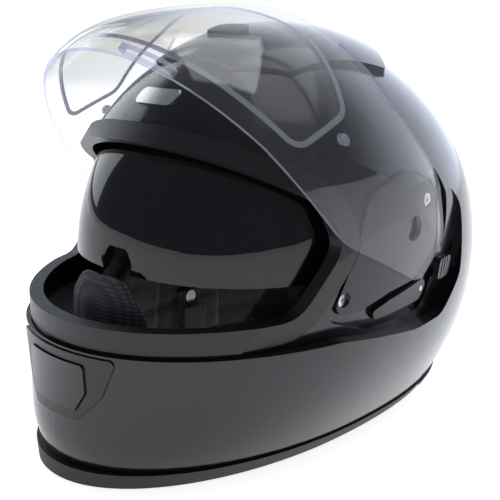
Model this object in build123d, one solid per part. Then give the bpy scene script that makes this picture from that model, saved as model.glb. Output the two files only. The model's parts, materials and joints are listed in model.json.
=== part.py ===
from build123d import *
from dataclasses import dataclass, replace
import math
import os

# Full-face motorcycle helmet, size M. Millimetres, +Z up.
# The front faces -Y and the wearer's left is +X. The origin is on the standing plane,
# midway between the front of the chin bar and the back of the shell.
# The clear face shield is raised and the inner sun visor is lowered.


@dataclass(frozen=True)
class Form:
    """A helmet-shaped body whose every level is a super-ellipse, widest at the waist."""

    half_width: float
    brow: float              # from the widest place forward to the brow
    chin: float              # how much further forward the chin bar stands
    rear: float              # from the widest place back
    top: float               # height of the crown
    side_tuck: float         # how much each side draws in at the base
    rear_tuck: float         # how much the back draws in at the base
    width_power: float = 2.1  # roundness of the dome seen from the front

    def inset(self, depth):
        """The same form moved inward by depth."""
        return replace(
            self,
            half_width=self.half_width - depth,
            brow=self.brow - depth,
            rear=self.rear - depth,
            top=self.top - depth,
        )


# ---- Forms ----
SHELL = Form(half_width=127, brow=158, chin=24, rear=176, top=264, side_tuck=36, rear_tuck=11)
SHIELD = Form(127, 163, 19, 176, 269, 36, 11, width_power=2.6)   # closed face shield
FOAM_INNER = Form(92, 122, 32, 138, 226, 9, 12)
LINER_INNER = Form(81, 110, 44, 127, 215, 4, 6)
CHEEK_INNER = Form(68, 110, 44, 127, 215, 3, 6)

WAIST_Z = 106.0            # level of the widest section
SECTION_Y = 3.0            # the widest place lies a little behind the origin
CHIN_TOP_Z = 100.0         # the extra chin reach fades from here...
CHIN_FADE = 90.0           # ...over this height
BROW_POWER = 1.93          # roundness of the dome's front profile
REAR_POWER = 1.92          # roundness of the dome's back profile
PLAN_FRONT_POWER = 2.07    # roundness of each level, front half
PLAN_REAR_POWER = 2.42     # roundness of each level, back half

SHELL_WALL = 4.0
TRIM_HEIGHT = 9.0          # rubber edge trim under the shell
TRIM_BACK_Y = 92.0         # the trim ends here and the rear skirt begins
GAP = 0.3                  # clearance between soft parts and what backs them

# ---- Face shield and its seat ----
PIVOT = (3.0, 144.0)       # Y and Z of the face shield's hinge line
SHIELD_RAISE = 49.0        # degrees from closed to fully raised
SHIELD_WALL = 2.2
EAR_X = 125.0              # outer face of the shield's ears at the hinge line
EAR_RADIUS = 320.0         # each ear is a gentle dome of this radius
SEAT = 3.6                 # recess floor below the closed shield's outer face
SEAT_BACK = 8.0            # inner face of the recessed wall
POCKET = 6.2               # floor of the pocket that holds the base plate
PLATE_FACE = 2.7           # base plate's outer face, just under the shield
EAR_ROOM = 48.0            # the seat is trimmed this far round the hinge line
HUB_RADIUS = 8.0
RUNNING = 0.05             # radial clearance of a turning fit
SCREW_RADIUS = 2.0
SCREW_HEAD = (4.4, 1.4)    # radius and height of each screw's head
SCREW_SLOT = 1.1           # width of the cross slots
SCREW_CENTRES = [(-57, 108), (20, 160)]    # Y and Z
FOG_PIN = (-81, 136)       # Y and Z on the closed shield
FOG_PIN_RADIUS = 3.5
TAB = ((28, 93.2), (58, 98))  # lift tab from its lowest to its highest X and Z, closed

# ---- Inner sun visor ----
SUN_PIVOT = (1.0, 116.0)   # Y and Z of its hinge line
SUN_RADIUS = 136.0
SUN_HALF_WIDTH = 106.0
SUN_WALL = 2.0
SUN_POWER = 2.4
SUN_ARM_Y = -54.0          # the lens ends here and the arms begin
SUN_PIN_RADIUS = 3.0

# ---- Retention strap ----
STRAP_X = 64.0             # outer face of the webbing
STRAP_Y = -14.0            # middle of the webbing
STRAP_WIDTH = 24.0
STRAP_WALL = 1.8
STRAP_TOP = 66.0
FOLD_Z = 34.0              # middle of the fold that holds the D-rings
FOLD_RADIUS = 4.6
FOLD_END = 20.0            # length of webbing turned back above the fold
RIVET_Z = 60.0
RING_BAR = 3.0
RING_PLATE = 1.2           # thickness of one D-ring
RING_LENGTH = 22.0
RING_WIDTH = 32.0

SIDES = {"left": 1, "right": -1}
FAR = 230.0                # outlines reach this far past the object
REACH = 400.0
PAST_MIDDLE = 0.3          # each half level runs this angle past the middle, in radians

# ---- Side-view outlines: Y and Z of each corner, and its radius ----
PORT = [(-FAR, 85, 0), (-84, 92, 30), (-51, 140, 24), (-62, 172, 20), (-122, 203, 50), (-FAR, 222, 0)]
RECESS = [
    (-FAR, 81, 0), (-60, 84, 60), (12, 76, 60), (46, 78, 16), (70, 102, 16),
    (72, 152, 16), (46, 172, 16), (0, 196, 16), (-FAR, 196, 0),
]
SHIELD_EDGE = [
    (-FAR, 93, 0), (-40, 93, 60), (38, 127, 15), (37, 166, 17),
    (4, 186, 24), (-52, 185, 80), (-124, 206, 60), (-FAR, 220, 0),
]
PLATE = [
    (-66, 98, 8), (-44, 98, 8), (-16, 106, 12), (32, 112, 14),
    (36, 166, 18), (0, 182, 18), (-40, 168, 18),
]
POCKET_EDGE = [
    (-68, 96, 8), (-34, 84, 8), (30, 84, 12), (40, 112, 14),
    (38, 168, 18), (0, 184, 18), (-42, 170, 18),
]
LEVER = [(-26, 89, 3.5), (24, 92, 5), (30, 103, 5), (22, 107, 4), (-14, 100, 5), (-30, 95, 2.5)]
LEVER_PIVOT = (24.0, 100.0)
KNOB = [(39, 103, 4), (58, 103, 4), (58, 118, 4), (39, 118, 4)]
LENS_INSERT = [(-FAR, 106, 0), (-100, 106, 12), (-86, 150, 14), (-114, 189, 20), (-FAR, 199, 0)]
CROWN_LINER = [
    (-42, 122, 6), (26, 122, 0), (26, 62, 0), (FAR, 62, 0), (FAR, 300, 0), (-FAR, 300, 0),
    (-FAR, 226, 0), (-122, 208, 30), (-56, 177, 14), (-45, 140, 14),
]
SUN_LENS = [(-FAR, 116, 0), (SUN_ARM_Y, 116, 6), (SUN_ARM_Y, 176, 14), (-96, 208, 20), (-FAR, 208, 0)]
SUN_ARM = [(SUN_ARM_Y, 120, 0), (-4, 108, 8), (9, 108, 8), (9, 124, 8), (SUN_ARM_Y, 152, 0)]
SUN_SWEEP = [(16, 100, 0), (-FAR, 96, 0), (-FAR, 340, 0), (40, 340, 0), (22, 124, 0)]

# ---- Front-view outlines: X and Z of the right half, mirrored ----
VENT_HOUSING = [(44, 80), (35, 57), (27, 48), (19, 40)]
VENT_WINDOW = [(25, 75), (26, 58), (19, 46)]
NOSE_NOTCH = [(9, 110), (15, 122), (9, 131)]
BREATH_HUMP = [(38, 66), (33, 98), (17, 116)]
BADGE = [(17, 216), (17, 225)]

# ---- Plan outlines: X and Y of the right half, mirrored ----
SPOILER = [(34, -74), (62, -52), (76, 30), (60, 44)]
SPOILER_OUTLET = [(66, 12), (72, 46)]
TOP_SLIDER = [(15, -50), (15, -36)]
SPOILER_SHIFT = (5.0, 5.5)  # the spoiler is the dome moved back and up by this


def fade(share, power):
    """Super-ellipse fall-off from 1 at share 0 to 0 at share 1."""
    return max(0.0, 1 - min(share, 1.0) ** power) ** (1 / power)


def chin_share(z):
    """1 at the chin bar, fading smoothly to 0 at the brow."""
    share = min(1.0, max(0.0, (z - CHIN_TOP_Z) / CHIN_FADE))
    return 0.5 * (1 + math.cos(math.pi * share))


def level(form, z):
    """Half-width, front reach and rear reach of a form at one height."""
    rise = max(0.0, (z - WAIST_Z) / (form.top - WAIST_Z))
    drop = max(0.0, (WAIST_Z - z) / WAIST_Z)
    width = form.half_width * fade(rise, form.width_power) - form.side_tuck * drop**2
    front = form.brow * fade(rise, BROW_POWER) + form.chin * chin_share(z)
    rear = form.rear * fade(rise, REAR_POWER) - form.rear_tuck * drop**2
    return width, front, rear


def level_face(form, z):
    """Left half of one level, carried a little past the middle."""
    width, front, rear = level(form, z)
    steps = 16
    span = math.pi + 2 * PAST_MIDDLE
    points = []
    for i in range(steps + 1):
        angle = span * (i / steps - 0.5)
        power = PLAN_FRONT_POWER if angle < 0 else PLAN_REAR_POWER
        reach = front if angle < 0 else rear
        across = math.copysign(abs(math.cos(angle)) ** (2 / power), math.cos(angle))
        along = math.copysign(abs(math.sin(angle)) ** (2 / power), angle)
        points.append((width * across, SECTION_Y + reach * along, z))
    return Face(Wire([Spline(*points), Line(points[-1], points[0])]))


def left_half(shape):
    """The part of a shape on the wearer's left."""
    return shape & slab((0, -REACH, -REACH), (REACH, REACH, REACH))


def both(half):
    """A left half joined to its mirror image."""
    return half + mirror(half, about=Plane.YZ)


def pair(piece):
    """A piece and its mirror image as two separate solids."""
    return Compound([piece.solid(), mirror(piece, about=Plane.YZ).solid()])


def on_side(piece, side):
    """A piece of the left side, or its mirror image on the right."""
    return piece if side > 0 else mirror(piece, about=Plane.YZ)


def body(form, base_z=-12.0):
    """Left half of a form as a closed solid, from base_z up to its crown."""
    heights = [base_z + (WAIST_Z - base_z) * i / 4 for i in range(5)]
    for angle in (14, 30, 46, 60, 73, 83, 88.5):
        heights.append(WAIST_Z + (form.top - WAIST_Z) * math.sin(math.radians(angle)))
    return left_half(loft([level_face(form, z) for z in heights]))


def band(form, bottom_z, top_z):
    """Left half of a form between two heights below its waist."""
    heights = [bottom_z + (top_z - bottom_z) * i / 3 for i in range(4)]
    return left_half(loft([level_face(form, z) for z in heights]))


def wall(outer, inner, region):
    """The part of the space between two nested solids that lies in a region."""
    return (outer & region) - inner


def closed_face(corners, grow=0.0):
    """Face inside a line through the corners, each with its own radius."""
    points = [(a, b) for a, b, radius in corners]
    radii = [radius for a, b, radius in corners]
    face = Face(Wire(FilletPolyline(*points, radius=radii, close=True)))
    return offset(face, amount=grow, kind=Kind.INTERSECTION) if grow else face


def side_prism(corners, grow=0.0):
    """Side-view outline pushed across the whole width."""
    return extrude(Plane.YZ * closed_face(corners, grow), amount=REACH, both=True)


def mirrored(corners):
    """Right half of an outline followed by its mirror image."""
    return list(corners) + [(-x, other) for x, other in reversed(corners)]


def front_prism(half, radius=3.0, grow=0.0):
    """Front-view outline pushed forward from the middle."""
    corners = [(x, z, radius) for x, z in mirrored(half)]
    return extrude(Plane.XZ * closed_face(corners, grow), amount=FAR, dir=(0, -1, 0))


def plan_prism(half, radius=6.0, grow=0.0):
    """Plan outline pushed up from the waist."""
    corners = [(x, y, radius) for x, y in mirrored(half)]
    return Pos(0, 0, WAIST_Z + 60) * extrude(closed_face(corners, grow), amount=REACH, dir=(0, 0, 1))


def slab(low, high):
    """Box from its lowest to its highest corner."""
    size = [top - bottom for bottom, top in zip(low, high)]
    middle = [(top + bottom) / 2 for bottom, top in zip(low, high)]
    return Pos(*middle) * Box(*size)


def layer(bottom_z, top_z):
    """Everything between two heights."""
    return slab((-REACH, -REACH, bottom_z), (REACH, REACH, top_z))


def raised(shape, turn=SHIELD_RAISE):
    """A piece of the closed face shield turned up about its hinge line."""
    y, z = PIVOT
    return Pos(0, y, z) * Rot(-turn, 0, 0) * Pos(0, -y, -z) * shape


def cross_cylinder(centre, radius, x_from, x_to):
    """Round bar along X between two distances from the middle."""
    y, z = centre
    return Pos((x_from + x_to) / 2, y, z) * Rot(0, 90, 0) * Cylinder(radius, abs(x_to - x_from))


_seats = {}


def seat(depth):
    """Left half of the closed shield's outer form, moved inward by depth."""
    if depth not in _seats:
        y, z = PIVOT
        ear = Pos(EAR_X - EAR_RADIUS, y, z) * Sphere(EAR_RADIUS - depth)
        _seats[depth] = body(SHIELD.inset(depth), 40.0) & ear
    return _seats[depth]


def swept_seat(depth):
    """The seat trimmed so that it stays this deep under the shield while the shield is raised."""
    form = body(SHIELD.inset(depth), 40.0)
    return seat(depth) & raised(form, SHIELD_RAISE / 2) & raised(form)


def sun_form(depth):
    """Left half of the solid of revolution that the sun visor lies on, moved inward by depth."""
    half_width = SUN_HALF_WIDTH - depth
    radius = SUN_RADIUS - depth
    steps = 16
    points = []
    for i in range(steps + 1):
        angle = math.pi * (i / steps - 0.5)
        across = math.copysign(abs(math.sin(angle)) ** (2 / SUN_POWER), angle)
        away = max(0.0, math.cos(angle)) ** (2 / SUN_POWER)
        points.append((half_width * across, -radius * away))
    points[0] = (-half_width, 0)
    points[-1] = (half_width, 0)
    curve = Spline(*points, tangents=[(0, -1), (0, 1)])
    face = Face(Wire([curve, Line(points[-1], points[0])]))
    y, z = SUN_PIVOT
    return left_half(Pos(0, y, z) * revolve(face, Axis.X, 360))


# ---- Shell and trims ----
def outer_shell():
    """Left half of the moulded shell, with the stepped shield seat, eye port and vent opening."""
    recess = side_prism(RECESS)
    outer = body(SHELL) - (recess - seat(SEAT))
    inner = body(SHELL.inset(SHELL_WALL)) - (side_prism(RECESS, 4.0) - seat(SEAT_BACK))
    shell = outer - inner - side_prism(PORT) - front_prism(VENT_HOUSING)
    shell -= layer(-REACH, TRIM_HEIGHT)
    shell -= side_prism(POCKET_EDGE) & (body(SHELL) - seat(POCKET))
    shell -= cross_cylinder(PIVOT, EAR_ROOM, 90, 140) - swept_seat(SEAT)
    for centre in SCREW_CENTRES:
        shell -= cross_cylinder(centre, SCREW_RADIUS + 0.1, 80, 130)
        shell -= cross_cylinder(centre, SCREW_HEAD[0] + 0.2, screw_face(centre) - 0.05, 140)
    return shell


def lower_edge_trim():
    """Rubber edge trim round the front and sides of the neck opening."""
    ring = band(SHELL.inset(-1.5), 0, TRIM_HEIGHT) - band(SHELL.inset(5.5), -2, TRIM_HEIGHT + 2)
    return both(ring & slab((-1, -REACH, -1), (REACH, TRIM_BACK_Y, REACH)))


def rear_skirt():
    """Plastic skirt round the back of the neck opening."""
    ring = band(SHELL.inset(-2.5), 0, TRIM_HEIGHT) - band(SHELL.inset(7.0), -2, TRIM_HEIGHT + 2)
    return both(ring & slab((-1, TRIM_BACK_Y, -1), (REACH, REACH, REACH)))


def eyeport_gasket(half_shell):
    """Rubber seal round the eye port, with a lip over the shell's edge."""
    ring = side_prism(PORT, 4.0) - side_prism(PORT, -9.0)
    return both(wall(seat(SHIELD_WALL + GAP), seat(11.0), ring) - half_shell)


# ---- Foam and padding ----
def foam_shell():
    """Left half of the space between the shell's wall and the inner face of the foam."""
    outer = body(SHELL.inset(SHELL_WALL + GAP)) & (seat(SEAT_BACK + GAP) + layer(-20, 41))
    return outer - body(FOAM_INNER)


def head_foam(foam):
    """Crash foam over the crown, sides and back, with room for the sun visor."""
    kept = foam - slab((-REACH, -REACH, -REACH), (REACH, -70, 150)) - side_prism(PORT, 1.0)
    kept -= side_prism(SUN_SWEEP) - sun_form(SUN_WALL + 3.0)
    return both(kept & layer(TRIM_HEIGHT, REACH))


def chin_foam(foam):
    """Crash foam inside the chin bar."""
    kept = foam & slab((-1, -REACH, TRIM_HEIGHT + 2), (REACH, -71, 83))
    return both(kept - front_prism(VENT_HOUSING, grow=2.0))


def crown_liner():
    """Comfort liner over the crown and the back of the head."""
    return both(wall(body(FOAM_INNER.inset(GAP)), body(LINER_INNER), side_prism(CROWN_LINER)))


def cheek_pad(side):
    """One cheek pad between the foam and the wearer's cheek."""
    region = slab((0, -112, 12), (REACH, 24, 113))
    pad = wall(body(FOAM_INNER.inset(GAP)), body(CHEEK_INNER), region) - side_prism(PORT, 3.0)
    return on_side(pad, side)


def neck_roll():
    """Soft roll behind the wearer's neck."""
    region = slab((-1, 28, 10), (REACH, REACH, 60))
    return both(wall(body(FOAM_INNER.inset(GAP)), body(LINER_INNER), region))


def breath_guard():
    """Upright flap that keeps breath off the shield."""
    outer = body(FOAM_INNER.inset(GAP))
    inner = body(FOAM_INNER.inset(GAP + 3.5))
    return both(wall(outer, inner, front_prism(BREATH_HUMP, 12.0)))


# ---- Face shield ----
def face_shield():
    """Clear shield with domed ears, hinge hubs and a lift tab on the left."""
    half = wall(seat(0), seat(SHIELD_WALL), side_prism(SHIELD_EDGE))
    half += cross_cylinder(PIVOT, HUB_RADIUS, EAR_X - POCKET + 0.4, EAR_X - 1.0)
    (low_x, low_z), (high_x, high_z) = TAB
    tab = wall(seat(-4.5), seat(0.5), slab((low_x, -FAR, low_z), (high_x, -60, high_z)))
    return raised(both(half) + tab)


def fog_insert():
    """Thin inner lens that keeps the shield clear."""
    return raised(both(wall(seat(3.0), seat(4.0), side_prism(LENS_INSERT))))


def fog_seal():
    """Bead between the shield and the inner lens."""
    ring = side_prism(LENS_INSERT) - side_prism(LENS_INSERT, -3.0)
    return raised(both(wall(seat(SHIELD_WALL), seat(3.0), ring)))


def fog_pins():
    """Two pins that hold the inner lens, one each side."""
    pin = cross_cylinder(FOG_PIN, FOG_PIN_RADIUS, 96, 130) & seat(SHIELD_WALL)
    return raised(pair(pin - seat(SHIELD_WALL + 2.4)))


# ---- Side mechanisms ----
def base_plate(side):
    """Ratchet plate that carries the shield's hinge."""
    region = side_prism(PLATE) - side_prism(PORT, 4.6)
    plate = wall(swept_seat(PLATE_FACE), seat(POCKET), region)
    plate -= cross_cylinder(PIVOT, HUB_RADIUS + RUNNING, 100, 140)
    for centre in SCREW_CENTRES:
        plate -= cross_cylinder(centre, SCREW_RADIUS + 0.1, 100, 140)
        plate -= cross_cylinder(centre, SCREW_HEAD[0] + 0.2, screw_face(centre), 140)
    return on_side(plate, side)


def screw_face(centre):
    """Distance from the middle to the floor of a screw's counterbore."""
    away = math.dist(centre, PIVOT)
    return EAR_X - EAR_RADIUS + math.sqrt((EAR_RADIUS - POCKET) ** 2 - away**2) + 0.4


def plate_screws():
    """Cross-head screws that hold both base plates."""
    head_radius, head_height = SCREW_HEAD
    screws = []
    for centre in SCREW_CENTRES:
        y, z = centre
        face = screw_face(centre)
        screw = cross_cylinder(centre, SCREW_RADIUS, face - 9, face)
        screw += cross_cylinder(centre, head_radius, face, face + head_height)
        for size in ((head_radius, SCREW_SLOT), (SCREW_SLOT, head_radius)):
            screw -= Pos(face + head_height, y, z) * Box(2.0, *size)
        screws += [screw.solid(), mirror(screw, about=Plane.YZ).solid()]
    return Compound(screws)


def release_lever(side):
    """Quick-release lever under the shield's ear, turning on its own pin."""
    lever = wall(seat(PLATE_FACE + 0.2), seat(POCKET - GAP), side_prism(LEVER))
    return on_side(lever - cross_cylinder(LEVER_PIVOT, 2.0 + RUNNING, 100, 140), side)


def lever_pins():
    """Pins on which both release levers turn."""
    away = math.dist(LEVER_PIVOT, PIVOT)
    floor = EAR_X - EAR_RADIUS + math.sqrt((EAR_RADIUS - POCKET) ** 2 - away**2)
    return pair(cross_cylinder(LEVER_PIVOT, 2.0, floor - 1.0, floor + 3.0) - seat(POCKET))


def sun_slider():
    """Ribbed knob on the left that raises and lowers the sun visor."""
    knob = wall(seat(-1.0), seat(SEAT - GAP), side_prism(KNOB))
    for i in range(4):
        y = 42.5 + 4.0 * i
        knob -= slab((EAR_X - 4.4, y, 100), (EAR_X + 20, y + 1.6, 122))
    return knob


# ---- Sun visor ----
def sun_lens():
    """Smoked inner visor with a notch for the nose."""
    lens = wall(sun_form(0), sun_form(SUN_WALL), side_prism(SUN_LENS))
    return both(lens - front_prism(NOSE_NOTCH, 4.0))


def sun_arms():
    """Two arms that carry the sun visor on its pins."""
    arms = wall(sun_form(0), sun_form(SUN_WALL), side_prism(SUN_ARM))
    return pair(arms - cross_cylinder(SUN_PIVOT, SUN_PIN_RADIUS + RUNNING, 50, 150))


def sun_brackets():
    """Blocks on the shell with the sun visor's hinge pins."""
    block = cross_cylinder(SUN_PIVOT, 9.0, SUN_HALF_WIDTH + 0.5, 125)
    block += cross_cylinder(SUN_PIVOT, SUN_PIN_RADIUS, SUN_HALF_WIDTH - 4, SUN_HALF_WIDTH + 1)
    return pair(block & seat(SEAT_BACK))


# ---- Vents ----
def vent_housing():
    """Winged surround of the chin vent, set into the chin bar."""
    region = front_prism(VENT_HOUSING) - front_prism(VENT_WINDOW)
    return both(wall(body(SHELL.inset(-1.2)), body(SHELL.inset(SHELL_WALL)), region))


def vent_shutter():
    """Flip-open cover of the chin vent."""
    region = front_prism(VENT_WINDOW, grow=-0.5)
    return both(wall(body(SHELL.inset(-2.4)), body(SHELL.inset(1.6)), region))


def vent_mesh():
    """Filter screen behind the chin vent."""
    region = front_prism(VENT_HOUSING, grow=-6.0)
    return both(wall(body(SHELL.inset(SHELL_WALL)), body(SHELL.inset(SHELL_WALL + 1.2)), region))


def brow_badge():
    """Plain plate on the brow."""
    return both(wall(body(SHELL.inset(-1.0)), body(SHELL), front_prism(BADGE, 4.0)))


def lifted_dome(inset=0.0):
    """Left half of the dome moved back and up, which gives the spoiler its wedge."""
    back, up = SPOILER_SHIFT
    return Pos(0, back, up) * body(SHELL.inset(inset))


def top_spoiler():
    """Vent cover and spoiler over the back of the crown."""
    return both(wall(lifted_dome(), body(SHELL), plan_prism(SPOILER)) - outlet_half())


def outlet_half():
    """Left half of the outlet insert."""
    region = plan_prism(SPOILER_OUTLET, 3.0) & plan_prism(SPOILER)
    return wall(lifted_dome(1.8), body(SHELL.inset(-0.8)), region)


def spoiler_outlet():
    """Dark outlet insert under the spoiler's back edge."""
    return both(outlet_half())


def top_slider():
    """Thumb slide that opens the top vent."""
    return both(wall(lifted_dome(-3.4), lifted_dome(-0.6), plan_prism(TOP_SLIDER, 5.0)))


# ---- Retention strap ----
def strap(side):
    """Webbing lying against one cheek pad, its lower end folded back up."""
    near, far = STRAP_Y - STRAP_WIDTH / 2, STRAP_Y + STRAP_WIDTH / 2
    back_x = STRAP_X - 2 * FOLD_RADIUS
    webbing = slab((STRAP_X - STRAP_WALL, near, FOLD_Z), (STRAP_X, far, STRAP_TOP))
    webbing += slab((back_x, near, FOLD_Z), (back_x + STRAP_WALL, far, FOLD_Z + FOLD_END))
    fold = Cylinder(FOLD_RADIUS, STRAP_WIDTH) - Cylinder(FOLD_RADIUS - STRAP_WALL, STRAP_WIDTH)
    fold = Pos(STRAP_X - FOLD_RADIUS, STRAP_Y, FOLD_Z) * Rot(90, 0, 0) * fold
    return on_side(webbing + (fold & layer(0, FOLD_Z)), side)


def d_rings():
    """Two steel D-rings side by side, hanging in the left strap's fold."""
    frame = Box(RING_PLATE, RING_WIDTH, RING_LENGTH)
    frame = fillet(frame.edges().filter_by(Axis.X), 3.0)
    frame -= Box(RING_PLATE, RING_WIDTH - 2 * RING_BAR, RING_LENGTH - 2 * RING_BAR)
    middle_z = FOLD_Z + RING_BAR / 2 - RING_LENGTH / 2
    spacing = RING_PLATE / 2 + 0.2
    rings = [
        Pos(STRAP_X - FOLD_RADIUS + offset_x, STRAP_Y, middle_z) * frame
        for offset_x in (-spacing, spacing)
    ]
    return Compound([ring.solid() for ring in rings])


def strap_rivets():
    """Rivets that hold the straps, one each side."""
    face = STRAP_X - STRAP_WALL
    return pair(cross_cylinder((STRAP_Y, RIVET_Z), 5.0, face - 1.5, face))


def build():
    """Every piece of the helmet by name."""
    parts = {}
    shell = outer_shell()
    foam = foam_shell()
    parts["outer_shell"] = both(shell)
    parts["lower_edge_trim"] = lower_edge_trim()
    parts["rear_skirt"] = rear_skirt()
    parts["eyeport_gasket"] = eyeport_gasket(shell)
    parts["head_foam"] = head_foam(foam)
    parts["chin_foam"] = chin_foam(foam)
    parts["crown_liner"] = crown_liner()
    parts["neck_roll"] = neck_roll()
    parts["breath_guard"] = breath_guard()
    parts["face_shield"] = face_shield()
    parts["fog_insert"] = fog_insert()
    parts["fog_seal"] = fog_seal()
    parts["fog_pins"] = fog_pins()
    parts["plate_screws"] = plate_screws()
    parts["lever_pins"] = lever_pins()
    parts["sun_slider"] = sun_slider()
    parts["sun_visor"] = sun_lens()
    parts["sun_visor_arms"] = sun_arms()
    parts["sun_visor_brackets"] = sun_brackets()
    parts["chin_vent_housing"] = vent_housing()
    parts["chin_vent_shutter"] = vent_shutter()
    parts["chin_vent_mesh"] = vent_mesh()
    parts["brow_badge"] = brow_badge()
    parts["top_spoiler"] = top_spoiler()
    parts["spoiler_outlet"] = spoiler_outlet()
    parts["top_vent_slider"] = top_slider()
    parts["strap_rivets"] = strap_rivets()
    parts["d_rings"] = d_rings()
    for name, side in SIDES.items():
        parts["cheek_pad_" + name] = cheek_pad(side)
        parts["base_plate_" + name] = base_plate(side)
        parts["release_lever_" + name] = release_lever(side)
        parts["chin_strap_" + name] = strap(side)
    return parts


if __name__ == "__main__":
    os.makedirs("parts", exist_ok=True)
    for node, shape in build().items():
        export_step(shape, f"parts/{node}.step")
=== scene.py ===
import json
import math

import bmesh
import bpy
from mathutils import Matrix, Vector, noise


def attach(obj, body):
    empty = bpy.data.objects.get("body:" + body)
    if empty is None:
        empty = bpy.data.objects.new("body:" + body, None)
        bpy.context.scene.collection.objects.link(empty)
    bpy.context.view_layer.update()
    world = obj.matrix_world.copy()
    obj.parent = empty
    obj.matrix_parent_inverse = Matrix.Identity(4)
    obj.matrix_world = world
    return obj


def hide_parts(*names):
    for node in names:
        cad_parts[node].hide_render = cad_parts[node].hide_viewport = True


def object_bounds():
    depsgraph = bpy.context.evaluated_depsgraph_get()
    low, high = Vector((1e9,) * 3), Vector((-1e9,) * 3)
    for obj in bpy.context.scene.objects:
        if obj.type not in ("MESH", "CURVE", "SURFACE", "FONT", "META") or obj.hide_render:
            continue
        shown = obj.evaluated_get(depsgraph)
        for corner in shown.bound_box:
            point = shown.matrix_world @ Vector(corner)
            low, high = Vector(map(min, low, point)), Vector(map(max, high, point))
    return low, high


# Full-face motorcycle helmet. Metres, in the CAD's frame: -Y is the front, +X the wearer's left.

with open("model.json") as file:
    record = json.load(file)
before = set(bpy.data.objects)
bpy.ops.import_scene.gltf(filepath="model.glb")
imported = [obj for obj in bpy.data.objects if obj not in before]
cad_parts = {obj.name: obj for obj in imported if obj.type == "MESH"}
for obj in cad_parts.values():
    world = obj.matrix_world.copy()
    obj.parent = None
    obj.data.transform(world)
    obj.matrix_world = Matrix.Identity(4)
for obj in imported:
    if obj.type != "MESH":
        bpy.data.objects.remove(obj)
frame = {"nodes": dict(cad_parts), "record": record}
cad_low, cad_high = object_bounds()
nodes = frame["nodes"]
SLOTS = {part["node"]: part["material_slot"] for part in frame["record"]["subparts"]}

# Where the camera stands: angles in degrees, distances in metres, lens and sensor in millimetres
CAMERA_ANGLES = (40.92, 12.1, 2.13)    # round from the front, up, and roll
CAMERA_TARGET = (0, 0.003, 0.130)
CAMERA_DISTANCE = 0.5892
CAMERA_LENS = 58.4
CAMERA_SENSOR = 36.0
CAMERA_SHIFT = (-0.0344, -0.0638)

# The studio
BACKDROP = (-0.10, 0.99, 0.08)         # towards the brightest part of the white backdrop
SURROUNDINGS = (0.22, 2.4)             # light from in front of the helmet, and from the backdrop
BACKDROP_EDGE = (0.55, 0.97)           # cosines between which the backdrop brightens
SKY = (0.80, 0.86, 1.0)
FLOOR_REACH = 40.0
FLOOR_DROP = 0.0005
FLOOR_GLOW = 0.8

# The face shield, which stands raised at rest
SHIELD_PIVOT = (0.003, 0.144)          # Y and Z of its hinge line
SHIELD_RAISE = 49.0                    # degrees from closed to rest
DOME_MIDDLE = (0.0, 0.003, 0.106)      # of the ellipsoid that the closed shield lies on
DOME_RADII = (0.127, 0.170, 0.163)
RIM_COSINE = 0.35                      # faces turned further than this from the dome are its rim

# Soft pieces
SEAM_DEPTH = 0.0022
SEAM_WIDTH = 0.0022
RIPPLE = 38.0                          # turns of the broad and the fine cloth ripples
FINE_RIPPLE = 90.0
STRAP_VOXEL = 0.0009
WEAVE_LIFT = 0.00008
WEAVE_PITCH = 5200.0
SHEET_CLEARANCE = 0.00006


# ---- Camera ----
def make_camera():
    """Long lens from the wearer's front left, a little above the chin bar."""
    azimuth, elevation, roll = map(math.radians, CAMERA_ANGLES)
    back = Vector((
        math.sin(azimuth) * math.cos(elevation),
        -math.cos(azimuth) * math.cos(elevation),
        math.sin(elevation),
    ))
    right = Vector((math.cos(azimuth), math.sin(azimuth), 0))
    up = back.cross(right)
    right_rolled = right * math.cos(roll) + up * math.sin(roll)
    up_rolled = up * math.cos(roll) - right * math.sin(roll)
    data = bpy.data.cameras.new("camera")
    data.lens = CAMERA_LENS
    data.sensor_width = CAMERA_SENSOR
    data.shift_x, data.shift_y = CAMERA_SHIFT
    camera = bpy.data.objects.new("camera", data)
    bpy.context.scene.collection.objects.link(camera)
    turn = Matrix((right_rolled, up_rolled, back)).transposed()
    place = Vector(CAMERA_TARGET) + back * CAMERA_DISTANCE
    camera.matrix_world = Matrix.Translation(place) @ turn.to_4x4()
    bpy.context.scene.camera = camera


# ---- Studio ----
def area_light(name, place, aim, size, power, colour):
    """Soft rectangular lamp at a place, pointing at another."""
    data = bpy.data.lights.new(name, "AREA")
    data.shape = "RECTANGLE"
    data.size, data.size_y = size
    data.energy = power
    data.color = colour
    lamp = bpy.data.objects.new(name, data)
    lamp.location = place
    lamp.rotation_euler = (Vector(aim) - Vector(place)).to_track_quat("-Z", "Y").to_euler()
    bpy.context.scene.collection.objects.link(lamp)


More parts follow.
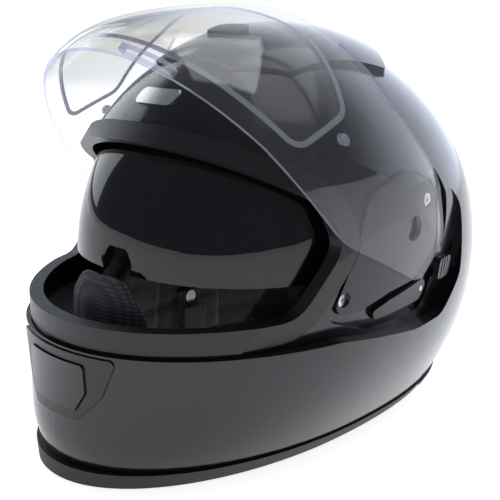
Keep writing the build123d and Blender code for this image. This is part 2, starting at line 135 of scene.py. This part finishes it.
def make_studio():
    """White surroundings, brightest behind the helmet, and two soft lamps."""
    bpy.context.scene.view_settings.view_transform = "Standard"
    bpy.context.scene.cycles.transparent_max_bounces = 32
    world = bpy.data.worlds.new("studio")
    bpy.context.scene.world = world
    world.use_nodes = True
    tree = world.node_tree
    tree.nodes.clear()
    out = tree.nodes.new("ShaderNodeOutputWorld")
    seen = tree.nodes.new("ShaderNodeBackground")
    seen.inputs["Color"].default_value = (1, 1, 1, 1)
    seen.inputs["Strength"].default_value = 1.0
    lit = tree.nodes.new("ShaderNodeBackground")
    lit.inputs["Color"].default_value = (*SKY, 1)
    where = tree.nodes.new("ShaderNodeTexCoord")
    toward = tree.nodes.new("ShaderNodeVectorMath")
    toward.operation = "DOT_PRODUCT"
    toward.inputs[1].default_value = BACKDROP
    tree.links.new(where.outputs["Generated"], toward.inputs[0])
    bright = ramp(tree, toward.outputs["Value"], *SURROUNDINGS, *BACKDROP_EDGE)
    tree.links.new(bright, lit.inputs["Strength"])
    path = tree.nodes.new("ShaderNodeLightPath")
    mix = tree.nodes.new("ShaderNodeMixShader")
    tree.links.new(path.outputs["Is Camera Ray"], mix.inputs["Fac"])
    tree.links.new(lit.outputs[0], mix.inputs[1])
    tree.links.new(seen.outputs[0], mix.inputs[2])
    tree.links.new(mix.outputs[0], out.inputs["Surface"])
    area_light("key", (-3.7, 0.1, 1.5), (0, -0.05, 0.15), (3.0, 2.6), 46, (0.88, 0.93, 1))
    area_light("crown", (0.3, 0.6, 3.0), (0, 0, 0.2), (2.6, 1.6), 26, (0.92, 0.95, 1))


# ---- Materials ----
def shader(name):
    """New material with a Principled shader, and its node tree."""
    material = bpy.data.materials.new(name)
    material.use_nodes = True
    tree = material.node_tree
    return material, tree, tree.nodes["Principled BSDF"]


def texture(tree, kind, scale, **settings):
    """Procedural texture in object space."""
    where = tree.nodes.new("ShaderNodeTexCoord")
    node = tree.nodes.new(kind)
    node.inputs["Scale"].default_value = scale
    for key, value in settings.items():
        if key in node.inputs:
            node.inputs[key].default_value = value
        else:
            setattr(node, key, value)
    tree.links.new(where.outputs["Object"], node.inputs["Vector"])
    return node


def ramp(tree, source, low, high, start=0.0, end=1.0):
    """Value running from low to high as the source runs from start to end."""
    node = tree.nodes.new("ShaderNodeMapRange")
    for key, value in (("From Min", start), ("From Max", end), ("To Min", low), ("To Max", high)):
        node.inputs[key].default_value = value
    tree.links.new(source, node.inputs["Value"])
    return node.outputs["Result"]


def tint(tree, factor, dark, light):
    """Colour running from dark to light."""
    node = tree.nodes.new("ShaderNodeMix")
    node.data_type = "RGBA"
    node.inputs["A"].default_value = (*dark, 1)
    node.inputs["B"].default_value = (*light, 1)
    tree.links.new(factor, node.inputs["Factor"])
    return node.outputs["Result"]


def bump(tree, source, strength, distance, under=None):
    """Bump from a height, laid over another one."""
    node = tree.nodes.new("ShaderNodeBump")
    node.inputs["Strength"].default_value = strength
    node.inputs["Distance"].default_value = distance
    tree.links.new(source, node.inputs["Height"])
    if under is not None:
        tree.links.new(under, node.inputs["Normal"])
    return node.outputs["Normal"]


def gloss_paint():
    """Deep black lacquer with slight orange peel and faint wear."""
    material, tree, bsdf = shader("gloss_black")
    flow = texture(tree, "ShaderNodeTexNoise", 9.0, Detail=3.0)
    dust = texture(tree, "ShaderNodeTexNoise", 140.0, Detail=6.0)
    peel = texture(tree, "ShaderNodeTexNoise", 420.0, Detail=1.0)
    colour = tint(tree, flow.outputs["Fac"], (0.0035, 0.0038, 0.0045), (0.0065, 0.007, 0.0085))
    tree.links.new(colour, bsdf.inputs["Base Color"])
    tree.links.new(ramp(tree, dust.outputs["Fac"], 0.16, 0.24), bsdf.inputs["Roughness"])
    bsdf.inputs["Coat Weight"].default_value = 0.35
    bsdf.inputs["Specular IOR Level"].default_value = 0.4
    tree.links.new(ramp(tree, flow.outputs["Fac"], 0.02, 0.05), bsdf.inputs["Coat Roughness"])
    normal = bump(tree, peel.outputs["Fac"], 0.03, 0.0002)
    tree.links.new(normal, bsdf.inputs["Coat Normal"])
    return material


def moulded(name, dark, light, rough, grain=900.0, depth=0.25, sheen=0.0):
    """Moulded plastic or rubber: fine grain, cloudy roughness and faint scuffs."""
    material, tree, bsdf = shader(name)
    cloud = texture(tree, "ShaderNodeTexNoise", 22.0, Detail=5.0)
    cells = texture(tree, "ShaderNodeTexVoronoi", grain)
    scuff = texture(tree, "ShaderNodeTexNoise", 260.0, Detail=8.0, Distortion=1.2)
    tree.links.new(tint(tree, cloud.outputs["Fac"], dark, light), bsdf.inputs["Base Color"])
    tree.links.new(ramp(tree, scuff.outputs["Fac"], rough - 0.07, rough + 0.08), bsdf.inputs["Roughness"])
    normal = bump(tree, cells.outputs["Distance"], depth, 0.0003)
    tree.links.new(bump(tree, scuff.outputs["Fac"], 0.08, 0.0004, normal), bsdf.inputs["Normal"])
    bsdf.inputs["Sheen Weight"].default_value = sheen
    return material


def knit(name, dark, light, pitch=190.0, lift=0.5):
    """Knitted liner cloth: rows of loops with a soft nap."""
    material, tree, bsdf = shader(name)
    rows = texture(tree, "ShaderNodeTexWave", pitch, wave_type="BANDS", bands_direction="Z",
                   Distortion=1.5, Detail=1.0)
    columns = texture(tree, "ShaderNodeTexWave", pitch, wave_type="BANDS", bands_direction="Y",
                      Distortion=1.0, Detail=1.0)
    loops = tree.nodes.new("ShaderNodeMath")
    loops.operation = "MULTIPLY"
    tree.links.new(rows.outputs["Fac"], loops.inputs[0])
    tree.links.new(columns.outputs["Fac"], loops.inputs[1])
    nap = texture(tree, "ShaderNodeTexNoise", 60.0, Detail=8.0)
    shade = tree.nodes.new("ShaderNodeMath")
    shade.operation = "MULTIPLY"
    tree.links.new(loops.outputs[0], shade.inputs[0])
    tree.links.new(ramp(tree, nap.outputs["Fac"], 0.5, 1.3), shade.inputs[1])
    tree.links.new(tint(tree, shade.outputs[0], dark, light), bsdf.inputs["Base Color"])
    tree.links.new(ramp(tree, nap.outputs["Fac"], 0.75, 0.95), bsdf.inputs["Roughness"])
    bsdf.inputs["Sheen Weight"].default_value = 0.35
    bsdf.inputs["Sheen Roughness"].default_value = 0.4
    normal = bump(tree, loops.outputs[0], lift, 0.0008)
    tree.links.new(bump(tree, nap.outputs["Fac"], 0.25, 0.001, normal), bsdf.inputs["Normal"])
    return material


def metal(name, dark, light, rough, stretch=(1, 1, 30)):
    """Drawn metal with fine lines along one way and faint spots."""
    material, tree, bsdf = shader(name)
    where = tree.nodes.new("ShaderNodeTexCoord")
    long = tree.nodes.new("ShaderNodeMapping")
    long.inputs["Scale"].default_value = stretch
    lines = tree.nodes.new("ShaderNodeTexNoise")
    lines.inputs["Scale"].default_value = 160.0
    lines.inputs["Detail"].default_value = 6.0
    tree.links.new(where.outputs["Object"], long.inputs["Vector"])
    tree.links.new(long.outputs[0], lines.inputs["Vector"])
    tree.links.new(tint(tree, lines.outputs["Fac"], dark, light), bsdf.inputs["Base Color"])
    tree.links.new(ramp(tree, lines.outputs["Fac"], rough - 0.08, rough + 0.1), bsdf.inputs["Roughness"])
    tree.links.new(bump(tree, lines.outputs["Fac"], 0.12, 0.0002), bsdf.inputs["Normal"])
    bsdf.inputs["Metallic"].default_value = 1.0
    return material


def clear_sheet(name, tinted, rough, haze, dull, scratch=0.03):
    """Clear sheet: see-through with a tint, a mirror-like skin, a cloudy haze and hairline scratches."""
    material, tree, bsdf = shader(name)
    out = tree.nodes["Material Output"]
    hair = texture(tree, "ShaderNodeTexNoise", 300.0, Detail=6.0, Distortion=2.0)
    cloud = texture(tree, "ShaderNodeTexNoise", 14.0, Detail=3.0)
    tree.links.new(tint(tree, cloud.outputs["Fac"], tuple(0.8 * c for c in haze), haze),
                   bsdf.inputs["Base Color"])
    tree.links.new(ramp(tree, hair.outputs["Fac"], rough, rough + scratch), bsdf.inputs["Roughness"])
    clear = tree.nodes.new("ShaderNodeBsdfTransparent")
    clear.inputs["Color"].default_value = (*tinted, 1)
    skin = tree.nodes.new("ShaderNodeBsdfGlossy")
    tree.links.new(ramp(tree, hair.outputs["Fac"], rough, rough + scratch), skin.inputs["Roughness"])
    hazed = tree.nodes.new("ShaderNodeMixShader")
    tree.links.new(ramp(tree, cloud.outputs["Fac"], 0.8 * dull, 1.2 * dull), hazed.inputs["Fac"])
    tree.links.new(clear.outputs[0], hazed.inputs[1])
    tree.links.new(bsdf.outputs[0], hazed.inputs[2])
    facing = tree.nodes.new("ShaderNodeLayerWeight")
    facing.inputs["Blend"].default_value = 0.5
    steep = tree.nodes.new("ShaderNodeMath")
    steep.operation = "POWER"
    steep.inputs[1].default_value = 5.0
    tree.links.new(facing.outputs["Facing"], steep.inputs[0])
    mix = tree.nodes.new("ShaderNodeMixShader")
    tree.links.new(ramp(tree, steep.outputs[0], 0.035, 0.8), mix.inputs["Fac"])
    tree.links.new(hazed.outputs[0], mix.inputs[1])
    tree.links.new(skin.outputs[0], mix.inputs[2])
    tree.links.new(mix.outputs[0], out.inputs["Surface"])
    return material


BLACK = gloss_paint()
RUBBER = moulded("edge_rubber", (0.008, 0.008, 0.009), (0.016, 0.016, 0.017), 0.55)
GASKET = moulded("port_rubber", (0.004, 0.004, 0.0045), (0.009, 0.009, 0.01), 0.38, 1200.0, 0.1)
SATIN = moulded("satin_plastic", (0.006, 0.006, 0.007), (0.012, 0.012, 0.013), 0.34, 1100.0, 0.18)
SKIRT = moulded("skirt_plastic", (0.007, 0.007, 0.008), (0.014, 0.014, 0.015), 0.48, 800.0, 0.4)
FOAM = moulded("bead_foam", (0.012, 0.012, 0.013), (0.028, 0.028, 0.03), 0.85, 260.0, 0.9)
KNIT = knit("liner_knit", (0.008, 0.008, 0.009), (0.045, 0.046, 0.052))
GUARD = knit("guard_knit", (0.02, 0.021, 0.024), (0.07, 0.072, 0.082), 130.0, 0.9)
WEBBING = knit("strap_webbing", (0.006, 0.006, 0.007), (0.04, 0.04, 0.044), 260.0, 0.7)
STEEL = metal("zinc_steel", (0.42, 0.42, 0.43), (0.72, 0.72, 0.74), 0.28)
BADGE = metal("badge_silver", (0.55, 0.56, 0.58), (0.85, 0.86, 0.88), 0.22, (30, 1, 1))
CLEAR = clear_sheet("shield_clear", (0.975, 0.975, 0.965), 0.02, (0.80, 0.80, 0.92), 0.012)
RIM = clear_sheet("shield_rim", (0.62, 0.60, 0.80), 0.10, (0.70, 0.68, 0.90), 0.30)
INSERT = clear_sheet("insert_clear", (0.98, 0.98, 0.975), 0.05, (0.85, 0.85, 0.9), 0.012)
BEAD = clear_sheet("insert_bead", (0.70, 0.71, 0.76), 0.15, (0.62, 0.63, 0.72), 0.35)
SMOKE = clear_sheet("smoke_lens", (0.30, 0.31, 0.31), 0.02, (0.010, 0.011, 0.012), 0.25, 0.01)

LOOKS = {
    "shell_gloss": BLACK, "trim_rubber": RUBBER, "skirt_plastic": SKIRT, "gasket_rubber": GASKET,
    "crash_foam": FOAM, "liner_knit": KNIT, "guard_fabric": GUARD, "mechanism_plastic": SATIN,
    "vent_plastic": SATIN, "mesh_plastic": SKIRT, "badge_metal": BADGE, "steel": STEEL,
    "webbing": WEBBING, "shield_clear": CLEAR, "insert_clear": INSERT, "insert_bead": BEAD,
    "visor_smoke": SMOKE,
}


def dress_nodes():
    """Each CAD node gets the look of its record slot."""
    for node, slot in SLOTS.items():
        mesh = nodes[node].data
        mesh.materials.clear()
        mesh.materials.append(LOOKS[slot])


def mark_rim(node):
    """The narrow side faces of the clear shield show the lavender of its thickness."""
    turn = Matrix.Rotation(math.radians(SHIELD_RAISE), 3, "X")
    mesh = nodes[node].data
    mesh.materials.append(RIM)
    middle = Vector(DOME_MIDDLE)
    hinge = Vector((0.0, *SHIELD_PIVOT))
    for face in mesh.polygons:
        closed = hinge + turn @ (face.center - hinge) - middle
        outward = Vector([along / radius**2 for along, radius in zip(closed, DOME_RADII)]).normalized()
        if abs((turn @ face.normal).dot(outward)) < RIM_COSINE:
            face.material_index = 1


def make_floor():
    """Pale floor that runs out of sight."""
    material, tree, bsdf = shader("floor_paper")
    fibre = texture(tree, "ShaderNodeTexNoise", 40.0, Detail=6.0)
    tree.links.new(tint(tree, fibre.outputs["Fac"], (0.93, 0.93, 0.94), (0.97, 0.97, 0.98)),
                   bsdf.inputs["Base Color"])
    bsdf.inputs["Roughness"].default_value = 0.9
    bsdf.inputs["Emission Color"].default_value = (1, 1, 1, 1)
    bsdf.inputs["Emission Strength"].default_value = FLOOR_GLOW
    tree.links.new(bump(tree, fibre.outputs["Fac"], 0.05, 0.001), bsdf.inputs["Normal"])
    mesh = bpy.data.meshes.new("floor")
    level = cad_low.z - FLOOR_DROP
    build = bmesh.new()
    corners = [build.verts.new((x * FLOOR_REACH, y * FLOOR_REACH, level)) for x, y in
               ((-1, -1), (1, -1), (1, 1), (-1, 1))]
    build.faces.new(corners)
    build.to_mesh(mesh)
    build.free()
    mesh.materials.append(material)
    floor = bpy.data.objects.new("floor", mesh)
    bpy.context.scene.collection.objects.link(floor)


# ---- Soft pieces and thin inner lenses ----
def new_piece(name, mesh, body, node, look):
    """A piece that stands for a CAD node, rides on its body and takes the look it is given."""
    piece = bpy.data.objects.new(name, mesh)
    bpy.context.scene.collection.objects.link(piece)
    mesh.materials.clear()
    mesh.materials.append(look)
    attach(piece, body)
    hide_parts(node)
    return piece


def reshaped(node, voxel, smoothing):
    """The node's solid as one even, softened mesh."""
    rough = bpy.data.objects.new(node + "_rough", nodes[node].data.copy())
    bpy.context.scene.collection.objects.link(rough)
    remesh = rough.modifiers.new("even", "REMESH")
    remesh.mode = "VOXEL"
    remesh.voxel_size = voxel
    soft = rough.modifiers.new("soft", "SMOOTH")
    soft.iterations = smoothing
    soft.factor = 0.6
    bpy.context.view_layer.update()
    shaped = rough.evaluated_get(bpy.context.evaluated_depsgraph_get())
    mesh = bpy.data.meshes.new_from_object(shaped)
    bpy.data.objects.remove(rough)
    return mesh


def pad(node, name, seams, puff=0.0012, voxel=0.004, smoothing=7, look=None, wrinkle=0.0008):
    """Foam piece in its cover: puffed between sewn channels, with loose cloth ripples."""
    mesh = reshaped(node, voxel, smoothing)
    moves = []
    for vertex in mesh.vertices:
        place = vertex.co
        ripple = noise.noise(place * RIPPLE) + 0.5 * noise.noise(place * FINE_RIPPLE)
        lift = puff + wrinkle * ripple
        for axis, level, tilt in seams:
            away = place[axis] - level - tilt * place[(axis + 1) % 3]
            lift -= SEAM_DEPTH * math.exp(-((away / SEAM_WIDTH) ** 2))
        moves.append(place + vertex.normal * lift)
    for vertex, place in zip(mesh.vertices, moves):
        vertex.co = place
    for face in mesh.polygons:
        face.use_smooth = True
    piece = new_piece(name, mesh, "helmet", node, look or KNIT)
    piece.modifiers.new("finer", "SUBSURF").render_levels = 1
    return piece


def webbing(node, name):
    """Flat strap with softened edges."""
    mesh = reshaped(node, STRAP_VOXEL, 2)
    for vertex in mesh.vertices:
        vertex.co += vertex.normal * WEAVE_LIFT * math.sin(vertex.co.y * WEAVE_PITCH)
    for face in mesh.polygons:
        face.use_smooth = True
    return new_piece(name, mesh, "helmet", node, WEBBING)


def inner_sheet(node, name, look):
    """A thin piece behind the shield, a hair smaller so that faces never share a plane."""
    mesh = nodes[node].data.copy()
    for vertex in mesh.vertices:
        vertex.co -= vertex.normal * SHEET_CLEARANCE
    return new_piece(name, mesh, "face_shield", node, look)


def make_soft_pieces():
    """Pads, liner, roll, guard and straps in place of their plain solids."""
    for side in ("left", "right"):
        pad("cheek_pad_" + side, "cheek_cushion_" + side,
            [(2, 0.086, 0.10), (2, 0.050, -0.12), (1, -0.052, 0.15)])
        webbing("chin_strap_" + side, "strap_" + side)
    pad("crown_liner", "crown_cushion",
        [(0, 0.030, 0.05), (0, -0.030, -0.05), (2, 0.150, 0.10), (1, 0.020, 0.0)])
    pad("neck_roll", "neck_cushion", [(2, 0.036, 0.0), (0, 0.045, 0.0), (0, -0.045, 0.0)])
    pad("breath_guard", "breath_flap", [(2, 0.074, 0.0)], 0.0004, 0.0016, 3, GUARD, 0.0005)
    inner_sheet("fog_insert", "fog_lens", INSERT)
    inner_sheet("fog_seal", "fog_bead", BEAD)


make_camera()
make_studio()
dress_nodes()
mark_rim("face_shield")
make_soft_pieces()
make_floor()
